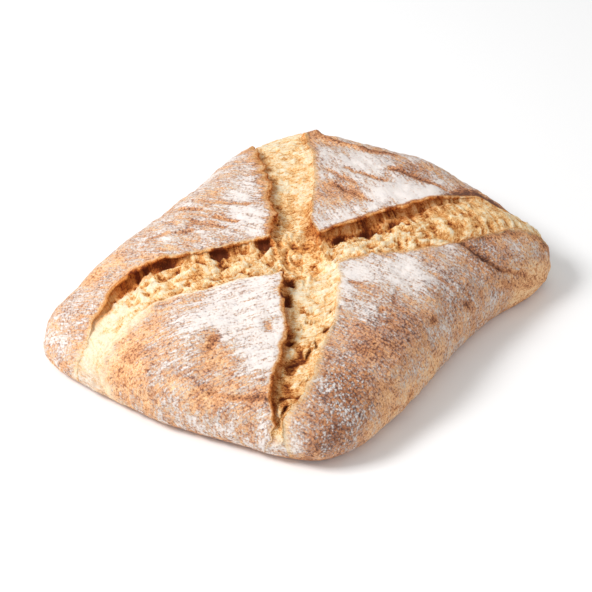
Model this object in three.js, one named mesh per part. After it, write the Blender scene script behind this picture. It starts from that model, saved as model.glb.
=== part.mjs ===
// A free-form hearth loaf, scored with a cross on top before baking and baked in one piece.
// Millimetres, +Z up. The origin is the middle of the flat base, and the sides lie along X and Y.
import * as THREE from 'three';

// Driving dimensions of the plump pillow.
const halfWidth = 100; // from the middle to the belt, along X
const halfLength = 115; // from the middle to the belt, along Y
const squareness = 6; // exponent of the belt's superellipse: 2 is round, more is squarer
const crownHeight = 57; // top of the dome, before the cross is cut
const beltHeight = 14; // height of the widest line above the base
const baseShare = 0.9; // the base outline's size against the belt's
const domePower = 3; // how boxy the dome is over the sides
const cornerDomePower = 2.5; // and over the corners, where it falls away sooner

// The corners and sides: direction in degrees, the share by which the belt is pushed out there, how far
// in radians that push reaches to each side, and how much the dome and the belt are raised there.
const corners = [
  { name: 'right', angle: 40, push: 0.14, reach: 0.18, raise: 3, beltRaise: -4 },
  { name: 'back', angle: 137, push: -0.02, reach: 0.26, raise: 1, beltRaise: -1 },
  { name: 'left', angle: 232, push: 0.08, reach: 0.32, raise: -8, beltRaise: -9 },
  { name: 'front', angle: 314, push: -0.01, reach: 0.32, raise: -5, beltRaise: 0 },
];
const sides = [
  { name: 'east', angle: 0, push: 0, reach: 0.45, raise: -2 },
  { name: 'north', angle: 86, push: 0.1, reach: 0.45, raise: 0 },
  { name: 'west', angle: 180, push: -0.09, reach: 0.45, raise: -3 },
  { name: 'south', angle: 263, push: 0.14, reach: 0.45, raise: -1 },
];
const raiseReach = 0.45; // radians around a corner or side that its raise reaches
const beltRaiseReach = 0.35; // and that its belt's raise reaches
const softReach = 0.4; // radians around a corner that its softer dome reaches

// The cross: four furrows that run from one crossing point towards the corners.
const crossing = { x: 7, y: -15 };
const furrows = [
  { name: 'left', tip: { x: -62, y: -118 }, width: 38, depth: 11 },
  { name: 'right', tip: { x: 84, y: 100 }, width: 36, depth: 11 },
  { name: 'back', tip: { x: -84, y: 92 }, width: 34, depth: 9 },
  { name: 'front', tip: { x: 62, y: -112 }, width: 32, depth: 10 },
];
const furrowTipShare = 0.35; // a furrow's width and depth at its tip, against those at the crossing
const cutLowest = 18; // the cut has run out at this height of the crust
const cutFull = 38; // and has its full depth from this height up

// How finely the loaf is faceted.
const columns = 120;
const domeRows = 24;
const tuckRows = 5;

function bump(angle, centre, spread) {
  const turn = 2 * Math.PI;
  const away = ((((angle - centre + Math.PI) % turn) + turn) % turn) - Math.PI;
  return Math.exp(-((away / spread) ** 2));
}

// Sum over places round the loaf of one of their values, each fading out around its own direction.
function around(places, angle, value, reach) {
  const amount = (place) => value(place) * bump(angle, THREE.MathUtils.degToRad(place.angle), reach(place));
  return places.reduce((sum, place) => sum + amount(place), 0);
}

// The widest outline of the loaf, as a distance from the middle.
function beltRadius(angle) {
  const across = Math.abs(Math.cos(angle) / halfWidth) ** squareness;
  const along = Math.abs(Math.sin(angle) / halfLength) ** squareness;
  const push = around([...corners, ...sides], angle, (place) => place.push, (place) => place.reach);
  return (across + along) ** (-1 / squareness) * (1 + push);
}

function beltLevel(angle) {
  return beltHeight + around(corners, angle, (corner) => corner.beltRaise, () => beltRaiseReach);
}

function meanBeltRadius() {
  let sum = 0;
  for (let column = 0; column < columns; column++) {
    sum += beltRadius((column / columns) * 2 * Math.PI);
  }
  return sum / columns;
}

// How deep the cross is at a point of the top.
function furrowDepth(x, y) {
  let deepest = 0;
  for (const furrow of furrows) {
    const run = new THREE.Vector2(furrow.tip.x - crossing.x, furrow.tip.y - crossing.y);
    const point = new THREE.Vector2(x - crossing.x, y - crossing.y);
    const share = THREE.MathUtils.clamp(point.dot(run) / run.lengthSq(), 0, 1);
    const away = point.sub(run.multiplyScalar(share)).length();
    const taper = THREE.MathUtils.lerp(1, furrowTipShare, share ** 2);
    const across = Math.min(away / (0.5 * furrow.width * taper), 1);
    deepest = Math.max(deepest, furrow.depth * taper * (1 - across ** 2) ** 2);
  }
  return deepest;
}

// Sinks the cross into the crown.
function scoreCross(position) {
  for (let index = 0; index < position.count; index++) {
    const height = position.getZ(index);
    const share = THREE.MathUtils.smoothstep(height, cutLowest, cutFull);
    const depth = share * furrowDepth(position.getX(index), position.getY(index));
    position.setZ(index, height - depth);
  }
}

// The rows of the loaf from the base's middle, out round the tucked-in edge and up over the dome.
// Each row has a share of the belt's radius and a height, as they are on a round loaf.
function makeRows(radius) {
  const rows = [{ part: 'base', share: 0, height: 0 }];
  for (let row = 0; row < tuckRows; row++) {
    const rise = (row / tuckRows) * (Math.PI / 2);
    const share = baseShare + (1 - baseShare) * Math.sin(rise);
    rows.push({ part: 'tuck', share, height: 1 - Math.cos(rise) });
  }
  for (let row = 0; row <= domeRows; row++) {
    const share = Math.cos((row / domeRows) * (Math.PI / 2)) ** (2 / 2.6);
    rows.push({ part: 'dome', share: row === domeRows ? 0 : share, height: 0 });
  }
  const profile = rows.map((row) => new THREE.Vector2(row.share * radius, row.height));
  return { rows, profile };
}

// Where a row's point lies at an angle on the pillow. Near the middle the rings are round, and
// they take on the belt's outline towards the edge.
function loafPoint(row, angle, meanRadius) {
  const reach = beltRadius(angle);
  const belt = beltLevel(angle);
  if (row.part !== 'dome') {
    const radius = row.share * reach;
    return new THREE.Vector3(radius * Math.cos(angle), radius * Math.sin(angle), row.height * belt);
  }
  const outer = row.share ** 1.5;
  const radius = row.share * THREE.MathUtils.lerp(meanRadius, reach, outer);
  const x = radius * Math.cos(angle);
  const y = radius * Math.sin(angle);
  const softness = Math.min(around(corners, angle, () => 1, () => softReach), 1);
  const power = THREE.MathUtils.lerp(domePower, cornerDomePower, softness);
  const raise = around([...corners, ...sides], angle, (place) => place.raise, () => raiseReach);
  const top = crownHeight + outer * raise;
  const rise = (1 - row.share ** power) ** (1 / power);
  return new THREE.Vector3(x, y, belt + (top - belt) * rise);
}

// A lathe turns the plain round loaf, and each of its points then moves out to the pillow's shape.
function makeLoaf() {
  const meanRadius = meanBeltRadius();
  const { rows, profile } = makeRows(meanRadius);
  const geometry = new THREE.LatheGeometry(profile, columns);
  const position = geometry.attributes.position;
  for (let index = 0; index < position.count; index++) {
    const row = rows[index % rows.length];
    const column = Math.floor(index / rows.length) % columns;
    const point = loafPoint(row, (column / columns) * 2 * Math.PI, meanRadius);
    position.setXYZ(index, point.x, point.y, point.z);
  }
  // The outline is uneven, so the loaf is slid along until the origin is under the middle of its box.
  geometry.computeBoundingBox();
  const middle = geometry.boundingBox.getCenter(new THREE.Vector3());
  geometry.translate(-middle.x, -middle.y, 0);
  scoreCross(position);
  geometry.computeVertexNormals();
  return geometry;
}

const crust = new THREE.MeshStandardMaterial({ color: 0xd9b48c, roughness: 0.9, metalness: 0 });
const loaf = new THREE.Mesh(makeLoaf(), crust);
loaf.name = 'loaf';

const part = new THREE.Group();
part.name = 'hearth_loaf';
part.add(loaf);

export default part;
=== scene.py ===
import math

import bmesh
import bpy
import numpy as np
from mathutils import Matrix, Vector, noise


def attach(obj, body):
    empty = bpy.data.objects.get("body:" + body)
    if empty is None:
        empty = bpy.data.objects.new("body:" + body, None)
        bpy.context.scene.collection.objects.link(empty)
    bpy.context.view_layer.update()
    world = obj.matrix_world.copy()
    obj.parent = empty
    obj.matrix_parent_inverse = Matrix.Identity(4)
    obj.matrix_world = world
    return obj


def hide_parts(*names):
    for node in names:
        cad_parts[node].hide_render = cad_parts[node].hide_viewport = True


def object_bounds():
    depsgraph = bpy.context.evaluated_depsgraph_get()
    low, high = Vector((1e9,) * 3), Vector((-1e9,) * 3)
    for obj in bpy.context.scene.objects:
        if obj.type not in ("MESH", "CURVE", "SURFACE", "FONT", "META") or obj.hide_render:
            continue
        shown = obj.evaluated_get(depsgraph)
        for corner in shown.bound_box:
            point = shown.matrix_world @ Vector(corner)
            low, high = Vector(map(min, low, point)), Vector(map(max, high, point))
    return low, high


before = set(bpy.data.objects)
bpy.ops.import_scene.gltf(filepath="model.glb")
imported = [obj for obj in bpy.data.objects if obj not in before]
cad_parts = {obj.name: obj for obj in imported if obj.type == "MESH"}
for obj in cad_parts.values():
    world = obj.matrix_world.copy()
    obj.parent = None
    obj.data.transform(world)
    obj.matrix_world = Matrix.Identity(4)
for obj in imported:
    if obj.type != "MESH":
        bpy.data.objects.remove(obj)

cadLow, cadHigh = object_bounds()  # the box that the loaf fills, in metres
metresPerMm = 0.001
quarterTurn = math.pi / 2
noiseGain = 1.6  # brings a noise's usual range to about one each way

# The plain pillow of dough, in millimetres. Directions are degrees round the middle of the pillow.
loafForm = {
    "halfWidth": 100,
    "halfLength": 115,
    "squareness": 6,
    "crownHeight": cadHigh.z / metresPerMm,
    "beltHeight": 14,
    "baseShare": 0.9,
    "sidePower": 3.0,
    "cornerPower": 2.5,
    "shareCurve": 0.77,
    "outlineCurve": 1.5,
    "softReach": 0.4,
    "raiseReach": 0.45,
    "beltRaiseReach": 0.35,
    "corners": [
        {"angle": 40, "push": 0.14, "reach": 0.18, "raise": 3, "beltRaise": -4},
        {"angle": 137, "push": -0.02, "reach": 0.26, "raise": 1, "beltRaise": -1},
        {"angle": 232, "push": 0.08, "reach": 0.32, "raise": -8, "beltRaise": -9},
        {"angle": 314, "push": -0.01, "reach": 0.32, "raise": -5, "beltRaise": 0},
    ],
    "sides": [
        {"angle": 0, "push": 0, "reach": 0.45, "raise": -2},
        {"angle": 86, "push": 0.1, "reach": 0.45, "raise": 0},
        {"angle": 180, "push": -0.09, "reach": 0.45, "raise": -3},
        {"angle": 263, "push": 0.14, "reach": 0.45, "raise": -1},
    ],
}


def bump(angle, centre, reach):
    away = (angle - math.radians(centre) + math.pi) % (2 * math.pi) - math.pi
    return np.exp(-((away / reach) ** 2))


def aroundLoaf(angle, places, value, reach=None):
    return sum(place[value] * bump(angle, place["angle"], reach or place["reach"]) for place in places)


def beltRadius(angle):
    power = loafForm["squareness"]
    across = np.abs(np.cos(angle) / loafForm["halfWidth"]) ** power
    along = np.abs(np.sin(angle) / loafForm["halfLength"]) ** power
    push = aroundLoaf(angle, loafForm["corners"] + loafForm["sides"], "push")
    return (across + along) ** (-1 / power) * (1 + push)


roundAngles = np.linspace(0, 2 * math.pi, 720, endpoint=False)
meanRadius = beltRadius(roundAngles).mean()


# A point of the plain pillow. Travel runs from 0 on the crown to 1 on the belt and 2 on the base's edge.
def pillowPoint(angle, travel):
    form = loafForm
    reach = beltRadius(angle)
    belt = form["beltHeight"] + aroundLoaf(angle, form["corners"], "beltRaise", form["beltRaiseReach"])
    share = np.sin(np.clip(travel, 0, 1) * quarterTurn) ** form["shareCurve"]
    outer = share ** form["outlineCurve"]
    softness = sum(bump(angle, corner["angle"], form["softReach"]) for corner in form["corners"])
    power = form["sidePower"] + (form["cornerPower"] - form["sidePower"]) * np.minimum(softness, 1)
    raised = aroundLoaf(angle, form["corners"] + form["sides"], "raise", form["raiseReach"])
    top = form["crownHeight"] + outer * raised
    radius = share * (meanRadius + (reach - meanRadius) * outer)
    height = belt + (top - belt) * np.clip(1 - share**power, 0, 1) ** (1 / power)
    tuck = np.clip(travel - 1, 0, 1) * quarterTurn
    tucked = reach * (form["baseShare"] + (1 - form["baseShare"]) * np.cos(tuck))
    radius = np.where(travel > 1, tucked, radius)
    height = np.where(travel > 1, belt * (1 - np.sin(tuck)), height)
    return np.stack([radius * np.cos(angle), radius * np.sin(angle), height], axis=-1)


# The skin is the loaf's surface laid out flat: distance from its middle is length along the surface.
travels = np.linspace(0, 2, 801)
meridians = pillowPoint(roundAngles[::30, None], travels[None, :])
steps = np.linalg.norm(np.diff(meridians, axis=1), axis=2).mean(axis=0)
lengths = np.concatenate([[0], np.cumsum(steps)])
skinLength = lengths[-1]

# The pillow is slid and stretched a little, so that its outline fills the frame's box.
outline = pillowPoint(roundAngles, np.ones_like(roundAngles))[:, :2]
pillowMiddle = (outline.max(axis=0) + outline.min(axis=0)) / 2
cadSize = (cadHigh - cadLow) / metresPerMm
fitScale = np.array([cadSize.x, cadSize.y]) / np.ptp(outline, axis=0)


def skinToLoaf(skin):
    angle = np.arctan2(skin[..., 1], skin[..., 0])
    travel = np.interp(np.hypot(skin[..., 0], skin[..., 1]), lengths, travels)
    points = pillowPoint(angle, travel)
    points[..., :2] = (points[..., :2] - pillowMiddle) * fitScale
    return points


# The place on the skin of each place that is given as seen from above.
def loafToSkin(places):
    places = np.asarray(places, float) / fitScale + pillowMiddle
    angle = np.arctan2(places[:, 1], places[:, 0])
    shares = np.linspace(0, 1, 500)
    outer = shares[None] ** loafForm["outlineCurve"]
    radii = shares[None] * (meanRadius + (beltRadius(angle)[:, None] - meanRadius) * outer)
    share = np.array([np.interp(r, row, shares) for r, row in zip(np.hypot(*places.T), radii)])
    travel = np.arcsin(share ** (1 / loafForm["shareCurve"])) / quarterTurn
    length = np.interp(travel, travels, lengths)
    return np.stack([length * np.cos(angle), length * np.sin(angle)], axis=-1)


# The cross cut. Each rim is a line of crust from the tip of its flap out to the loaf's edge, given by a few
# places seen from above and the direction where it meets the base. Pairs are (share along the rim, value):
# - lip, curl and under: how far the crust stands out over the cut, curls up and is undercut, in mm
# - toast and shade: how dark the wall below is, toasted brown with painted shade under the lip mixed in
# - bare and scorch: how free of flour the crust is there, and how far in
# - soft: over how many mm the crumb's colour fades out into the crust
rims = {
    "leftUpper": {
        "places": [
            (-15, -13), (-26, -24), (-40, -40), (-58, -56),
            (-69, -68), (-71, -84), (-68, -103), (-63, -121),
        ],
        "edge": 246,
        "ragged": 1.1,
        "lip": [(0, 0.8), (0.3, 1), (0.45, 1.6), (0.6, 1.3), (0.7, 0.4), (0.78, 0)],
        "curl": [(0, 0.4), (0.3, 0.6), (0.5, 1.2), (0.7, 0.4), (0.85, 0)],
        "toastAndShade": [(0, 0.7), (0.34, 0.7), (0.42, 1.2), (0.72, 1.4), (0.8, 1), (1, 0.6)],
        "bare": [(0, 0.2), (1, 0.2)],
        "soft": [(0, 0.4), (0.66, 0.6), (0.76, 3), (1, 5)],
        "scorch": [(0, 1.5), (1, 1.5)],
        "scorchBake": 0.2,
        "under": [(0, 1), (0.3, 1.5), (0.45, 2.4), (0.62, 2), (0.72, 0.3), (0.8, 0)],
    },
    "leftLower": {
        "places": [(10, -36), (-8, -52), (-25, -70), (-39, -85), (-46, -100), (-50, -119)],
        "edge": 256,
        "ragged": 0.8,
        "lip": [(0, 0.8), (0.5, 0.4), (0.8, 0)],
        "curl": [(0, 0.8), (0.3, 0), (1, 0)],
        "toastAndShade": [(0, 0.5), (0.5, 0.5), (0.7, 0.1), (1, 0)],
        "bare": [(0, 0.05), (1, 0.05)],
        "soft": [(0, 0.4), (0.4, 1.4), (0.55, 6), (1, 10)],
        "scorch": [(0, 0.6), (0.5, 2), (1, 3)],
        "scorchBake": 0,
        "under": [(0, 0.5), (0.2, 0), (1, 0)],
    },
    "rightUpper": {
        "places": [(6, 5), (12, 19), (18, 33), (26, 48), (34, 63), (44, 83), (56, 101), (72, 108)],
        "edge": 52,
        "ragged": 0.7,
        "lip": [(0, 1), (0.12, 1.8), (0.4, 2), (0.5, 1), (0.6, 0.6), (0.9, 0.4), (0.95, 0)],
        "curl": [(0, 0.6), (0.2, 0.8), (0.45, 0.8), (0.55, 0.2), (0.9, 0)],
        "toastAndShade": [(0, 0.8), (0.1, 0.9), (0.4, 0.8), (0.55, 0.8), (0.9, 0.8), (1, 0.4)],
        "bare": [(0, 0.2), (0.45, 0.2), (0.6, 0.5), (1, 0.5)],
        "soft": [(0, 0.4), (1, 0.4)],
        "scorch": [(0, 1.2), (0.45, 1.2), (0.6, 7), (1, 7)],
        "scorchBake": 0.5,
        "under": [(0, 1), (0.12, 3), (0.42, 3), (0.55, 0.5), (0.9, 0)],
    },
    "rightLower": {
        "places": [(30, -11), (35, 0), (44, 12), (56, 25), (66, 41), (73, 56), (80, 73), (88, 94)],
        "edge": 43,
        "ragged": 0.9,
        "lip": [(0, 0.3), (0.35, 0.6), (0.5, 1.2), (0.85, 1.2), (0.95, 0)],
        "curl": [(0, 0), (0.35, 0.4), (0.55, 1.8), (0.85, 1.8), (0.95, 0)],
        "toastAndShade": [(0, 0.5), (0.5, 0.9), (0.9, 0.9), (1, 0.4)],
        "bare": [(0, 0.2), (0.4, 0.5), (0.6, 1.2), (1, 1)],
        "soft": [(0, 1), (0.5, 1.6), (1, 1.6)],
        "scorch": [(0, 1.5), (0.45, 1.5), (0.6, 4.5), (1, 5)],
        "scorchBake": 0.3,
        "under": [(0, 0), (0.4, 0.2), (0.6, 0.8), (0.9, 0)],
    },
    "backLeft": {
        "places": [(-15, -13), (-19, -7), (-27, 5), (-36, 18), (-45, 29), (-56, 38), (-69, 50), (-84, 66)],
        "edge": 141,
        "ragged": 2.6,
        "lip": [(0, 1.2), (0.2, 1.6), (0.8, 1), (0.9, 0)],
        "curl": [(0, 1), (0.4, 1.2), (0.8, 0.8), (0.95, 0)],
        "toastAndShade": [(0, 0.9), (0.3, 1), (0.85, 1), (0.95, 0)],
        "bare": [(0, 0.5), (1, 0.6)],
        "soft": [(0, 1), (0.3, 3), (1, 3)],
        "scorch": [(0, 2.5), (0.3, 5), (1, 4)],
        "scorchBake": 0.4,
        "under": [(0, 1), (0.3, 0.8), (0.9, 0)],
    },
    "backRight": {
        "places": [(6, 5), (-2, 10), (-8, 18), (-17, 33), (-26, 47), (-37, 62), (-50, 78), (-67, 93)],
        "edge": 132,
        "ragged": 0.8,
        "lip": [(0, 1.5), (0.1, 0.5), (0.8, 0.3), (0.95, 0)],
        "curl": [(0, 1), (0.1, 0.3), (0.75, 0.3), (0.95, 0)],
        "toastAndShade": [(0, 0.7), (0.8, 0.8), (1, 0.3)],
        "bare": [(0, 0.2), (0.55, 0.3), (0.8, 0.7), (1, 0.2)],
        "soft": [(0, 0.6), (0.3, 2), (1, 1.5)],
        "scorch": [(0, 1.5), (0.4, 2.5), (0.7, 5), (1, 2)],
        "scorchBake": 0.3,
        "under": [(0, 1), (0.1, 0), (1, 0)],
    },
    "frontLeft": {
        "places": [
            (10, -36), (17, -49), (25, -58), (32, -67),
            (38, -79), (43, -90), (48, -100), (55, -111),
        ],
        "edge": 296,
        "ragged": 1.6,
        "lip": [(0, 0.6), (0.1, 1.4), (0.3, 2), (0.5, 1.8), (0.7, 1), (0.84, 0)],
        "curl": [(0, 0.4), (0.3, 0.8), (0.6, 0.6), (0.85, 0)],
        "toastAndShade": [(0, 0.7), (0.5, 0.9), (0.8, 1)],
        "bare": [(0, 0.1), (1, 0.1)],
        "soft": [(0, 0.4), (1, 0.8)],
        "scorch": [(0, 0.8), (0.6, 1), (1, 2)],
        "scorchBake": 0.15,
        "under": [(0, 0.5), (0.1, 2.5), (0.35, 3), (0.6, 2), (0.84, 0)],
    },
    "frontRight": {
        "places": [(30, -11), (39, -24), (47, -38), (52, -52), (56, -66), (60, -78), (62, -90), (61, -108)],
        "edge": 303,
        "ragged": 1.2,
        "lip": [(0, 0.3), (0.5, 0.3), (0.7, 0.8), (0.84, 0)],
        "curl": [(0, 0), (0.5, 0), (0.7, 0.5), (0.84, 0)],
        "toastAndShade": [(0, 0.3), (0.5, 0.5), (1, 0.6)],
        "bare": [(0, 0.2), (1, 0.2)],
        "soft": [(0, 1.2), (0.4, 3), (1, 3)],
        "scorch": [(0, 1), (0.5, 3), (1, 3)],
        "scorchBake": 0.1,
        "under": [(0, 0), (0.5, 0.2), (0.84, 0)],
    },
}
crustThickness = 1.3
rimWaves = [(13, 1), (5, 0.6), (2.4, 0.35)]  # size in mm and height of the waves in a ragged rim
rimWaveFade = [(0, 0), (0.05, 1), (0.8, 1), (0.92, 0.1), (1, 0)]

# The crumb floor of each arm: how far it lies below the pillow at its low rim, in its middle and at its
# high rim, how open and rough it is, and how much it is drawn into strands and torn into lapping sheets.
# The low rim is the lower or left one.
arms = {
    "left": {
        "rims": ("leftLower", "leftUpper"),
        "low": [(0, 4), (0.2, 1.8), (0.5, 1), (0.7, 0), (1, 0)],
        "mid": [(0, 7), (0.3, 5), (0.5, 3.5), (0.7, 0.6), (0.8, 0), (1, 0)],
        "high": [(0, 3), (0.3, 2.5), (0.4, 5), (0.58, 4), (0.68, 1.8), (0.76, 0.5), (0.84, 0)],
        "open": [(0, 1), (0.58, 1), (0.74, 0.72), (0.97, 0)],
        "rough": [(0, 1), (0.45, 1), (0.55, 0.5), (0.66, 0.1), (0.8, 0.02), (1, 0)],
        "strands": [(0, 0.3), (0.6, 0.3), (1, 0.1)],
        "sheets": [(0, 0.2), (0.45, 0.3), (0.6, 0)],
    },
    "right": {
        "rims": ("rightLower", "rightUpper"),
        "low": [(0, 3), (0.2, 1.8), (0.5, 1), (0.9, 0.6), (0.97, 0)],
        "mid": [(0, 7), (0.2, 5), (0.4, 2.5), (0.55, 0), (0.8, -2), (0.97, -0.5)],
        "high": [(0, 4.5), (0.1, 6), (0.35, 6), (0.48, 3), (0.65, 1.2), (0.97, 0)],
        "open": [(0, 1), (0.93, 1), (0.99, 0)],
        "rough": [(0, 1), (0.35, 0.8), (0.5, 0.4), (0.8, 0.2), (1, 0.1)],
        "strands": [(0, 0.4), (0.3, 1), (0.6, 1.2), (1, 0.8)],
        "sheets": [(0, 0.2), (0.3, 0.3), (0.6, 0.2), (1, 0)],
    },
    "back": {
        "rims": ("backLeft", "backRight"),
        "low": [(0, 3), (0.2, 3.5), (0.7, 2.5), (0.95, 0)],
        "mid": [(0, 7), (0.3, 4), (0.7, 2), (0.95, 0)],
        "high": [(0, 4.5), (0.1, 2), (0.7, 1), (0.95, 0)],
        "open": [(0, 1), (0.82, 1), (0.94, 0)],
        "rough": [(0, 0.7), (0.3, 0.3), (0.8, 0.3), (1, 0.05)],
        "strands": [(0, 0.4), (0.4, 0.7), (1, 0.6)],
        "sheets": [(0, 0.2), (0.4, 0.3), (1, 0.3)],
    },
    "front": {
        "rims": ("frontLeft", "frontRight"),
        "low": [(0, 4), (0.12, 6), (0.4, 6), (0.65, 5.5), (0.84, 0)],
        "mid": [(0, 7), (0.3, 5), (0.6, 4.5), (0.75, 3), (0.84, 0)],
        "high": [(0, 3), (0.2, 1.2), (0.6, 1.4), (0.84, 0)],
        "open": [(0, 1), (0.78, 1), (0.86, 0)],
        "rough": [(0, 0.7), (0.2, 0.42), (0.55, 0.42), (0.75, 0.5), (1, 0.3)],
        "strands": [(0, 0.4), (0.2, 0.4), (0.7, 0.4), (1, 0.4)],
        "sheets": [(0, 0.3), (0.12, 1), (0.7, 1), (0.84, 0.3)],
    },
}

# How finely the surface is divided: cells over a flap of crust, over a rim's wall and across a floor.
cells = {"crust": 112, "wall": 8, "floor": 48}
wallShare = 0.07  # of an arm's width, for each wall
near = cells["crust"]
far = near + 2 * cells["wall"] + cells["floor"]
last = far + cells["crust"]
gridSides = {
    1: {"corner": near, "span": slice(None, near + 1), "outward": slice(near, None, -1)},
    -1: {"corner": far, "span": slice(far, None), "outward": slice(far, None)},
}

# The four flaps of crust: which way each grid direction runs to the cross, the rims along both, and the
# directions of the flap's outer corner and of the streaks in its flour, in degrees seen from above.
flaps = {
    "west": {"towards": (1, -1), "rims": ("leftUpper", "backLeft"), "corner": 190, "streaks": 12},
    "north": {"towards": (-1, -1), "rims": ("rightUpper", "backRight"), "corner": 90, "streaks": -32},
    "east": {"towards": (-1, 1), "rims": ("rightLower", "frontRight"), "corner": -5, "streaks": 12},
    "south": {"towards": (1, 1), "rims": ("leftLower", "frontLeft"), "corner": 273, "streaks": 48},
}


def alongRim(pairs, share):
    return np.interp(share, [pair[0] for pair in pairs], [pair[1] for pair in pairs])


def noiseAt(points, size, seed):
    shift = Vector((seed * 13.7, seed * 7.3, seed * 3.1))
    return np.array([noise.noise(Vector(point) / size + shift) for point in points])


# A smooth line through a few places, with its points evenly apart.
def smoothLine(places, count):
    places = np.asarray(places, float)
    knots = np.concatenate([[0], np.cumsum(np.linalg.norm(np.diff(places, axis=0), axis=1))])
    slopes = np.gradient(places, knots, axis=0)
    fine = np.linspace(0, knots[-1], 600)
    part = np.clip(np.searchsorted(knots, fine, side="right") - 1, 0, len(knots) - 2)
    span = (knots[part + 1] - knots[part])[:, None]
    t = (fine - knots[part])[:, None] / span
    line = (
        (2 * t**3 - 3 * t**2 + 1) * places[part]
        + (t**3 - 2 * t**2 + t) * span * slopes[part]
        + (3 * t**2 - 2 * t**3) * places[part + 1]
        + (t**3 - t**2) * span * slopes[part + 1]
    )
    walked = np.concatenate([[0], np.cumsum(np.linalg.norm(np.diff(line, axis=0), axis=1))])
    even = np.linspace(0, walked[-1], count)
    return np.stack([np.interp(even, walked, line[:, k]) for k in (0, 1)], axis=-1)


def skinEdge(fromAngle, toAngle):
    angle = np.radians(np.linspace(fromAngle, toAngle, near + 1))
    return skinLength * np.stack([np.cos(angle), np.sin(angle)], axis=-1)


def rimLine(name, seed):
    rim = rims[name]
    places = np.vstack([loafToSkin(rim["places"]), skinEdge(rim["edge"], rim["edge"])[:1]])
    line = smoothLine(places, near + 1)
    run = np.gradient(line, axis=0)
    side = np.stack([-run[:, 1], run[:, 0]], axis=-1) / np.linalg.norm(run, axis=1)[:, None]
    spots = [(x, y, 0) for x, y in line]
    wave = sum(height * noiseAt(spots, size, seed + nth) for nth, (size, height) in enumerate(rimWaves))
    fade = alongRim(rimWaveFade, np.linspace(0, 1, near + 1))
    return line + side * (wave * fade * rim["ragged"] * noiseGain)[:, None]


def ruled(low, high, across):
    return low[:, None] + (high - low)[:, None] * across[None]


# Fills a patch between its four borders: start and end run one way, and low and high the other way.
def fillPatch(u, v, start, end, low, high):
    mixed = (1 - u) * start[None] + u * end[None] + (1 - v) * low[:, None] + v * high[:, None]
    startCorners = (1 - u) * (1 - v) * start[0] + (1 - u) * v * start[-1]
    return mixed - startCorners - u * (1 - v) * end[0] - u * v * end[-1]


def acrossArm(share):
    wall = np.linspace(0, share, cells["wall"] + 1)
    floor = np.linspace(share, 1 - share, cells["floor"] + 1)[1:-1]
    return np.concatenate([wall, floor, 1 - wall[::-1]])


# Lays the whole grid on the skin: four flaps of crust round the cross, its four arms and its middle. Share
# is the share of an arm's width that each of its walls takes.
def laySkin(share):
    lines = {name: rimLine(name, 10 * nth) for nth, name in enumerate(rims)}
    skin = np.zeros((last + 1, last + 1, 2))
    across = acrossArm(share)[:, None]
    inner = slice(near, far + 1)
    front, back = gridSides[1]["outward"], gridSides[-1]["outward"]
    between = {name: ruled(*[lines[rim] for rim in arm["rims"]], across) for name, arm in arms.items()}
    skin[front, inner] = between["left"]
    skin[back, inner] = between["right"]
    skin[inner, back] = between["back"].transpose(1, 0, 2)
    skin[inner, front] = between["front"].transpose(1, 0, 2)
    middleLow = skin[near, near] + (skin[far, near] - skin[near, near]) * across
    middleHigh = skin[near, far] + (skin[far, far] - skin[near, far]) * across
    skin[inner, inner] = ruled(middleLow, middleHigh, across)
    outward = np.linspace(0, 1, near + 1)
    u, v = outward[:, None, None], outward[None, :, None]
    for flap in flaps.values():
        i, j = (gridSides[way]["outward"] for way in flap["towards"])
        lineI, lineJ = (lines[name] for name in flap["rims"])
        edgeI, edgeJ = (rims[name]["edge"] for name in flap["rims"])
        if flap["corner"] < 0:
            edgeJ = edgeJ - 360
        endI, endJ = skinEdge(edgeI, flap["corner"]), skinEdge(edgeJ, flap["corner"])
        skin[i, j] = fillPatch(u, v, lineJ, endI, lineI, endJ)
    return skin


skin = laySkin(wallShare)
plain = skinToLoaf(skin)
normals = np.cross(np.gradient(plain, axis=0), np.gradient(plain, axis=1))
normals /= np.maximum(np.linalg.norm(normals, axis=2, keepdims=True), 1e-9)
print("skin laid out:", last, "cells each way")


# Which part of the cross a grid point belongs to, and its place there.
index = np.arange(last + 1)
outwardShare = np.where(index < near, (near - index) / near, np.where(index > far, (index - far) / near, 0))
floorAcross = np.clip((index - near - cells["wall"]) / cells["floor"], 0, 1)
inArm = (index > near) & (index < far)
floorMask = np.zeros((last + 1, last + 1), bool)
floorMask[:, inArm] = True
floorMask[inArm, :] = True
armAreas = {
    "left": (slice(0, near + 1), slice(near, far + 1)),
    "right": (slice(far, None), slice(near, far + 1)),
    "back": (slice(near, far + 1), slice(far, None)),
    "front": (slice(near, far + 1), slice(0, near + 1)),
}


# A value over all four arms and the middle where they meet. In an arm, value is given the share out along
# it and the share across it.
def armField(value):
    field = np.zeros(floorMask.shape)
    across = floorAcross[near : far + 1]
    sides = {}
    for name, area in armAreas.items():
        lengthwise = area[0] if name in ("left", "right") else area[1]
        block = value(arms[name], outwardShare[lengthwise][:, None], across[None])
        field[area] = block if name in ("left", "right") else block.T
        sides[name] = value(arms[name], np.zeros((1, 1)), across[None])[0]
    u, v = across[:, None], across[None, :]
    middle = fillPatch(u, v, sides["left"], sides["right"], sides["front"], sides["back"])
    field[near : far + 1, near : far + 1] = middle
    return field


def sinkAcross(arm, out, across):
    low, mid, high = (alongRim(arm[key], out) for key in ("low", "mid", "high"))
    lowSide = low * (1 - across) * (1 - 2 * across)
    return lowSide + mid * 4 * across * (1 - across) + high * across * (2 * across - 1)


def evenAcross(key):
    return lambda arm, out, across: alongRim(arm[key], out) + 0 * across


# The same, but starting from nothing where the arms meet.
def fromMiddle(key):
    return lambda arm, out, across: alongRim(arm[key], out) * np.clip(out * 12, 0, 1) + 0 * across


# Painted shade: the crumb is painted darker and golden in the lee of a high rim, more so the deeper the
# rim.
leeShade = {"strength": 0.75, "reach": 0.16, "fullDepth": 5}


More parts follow.
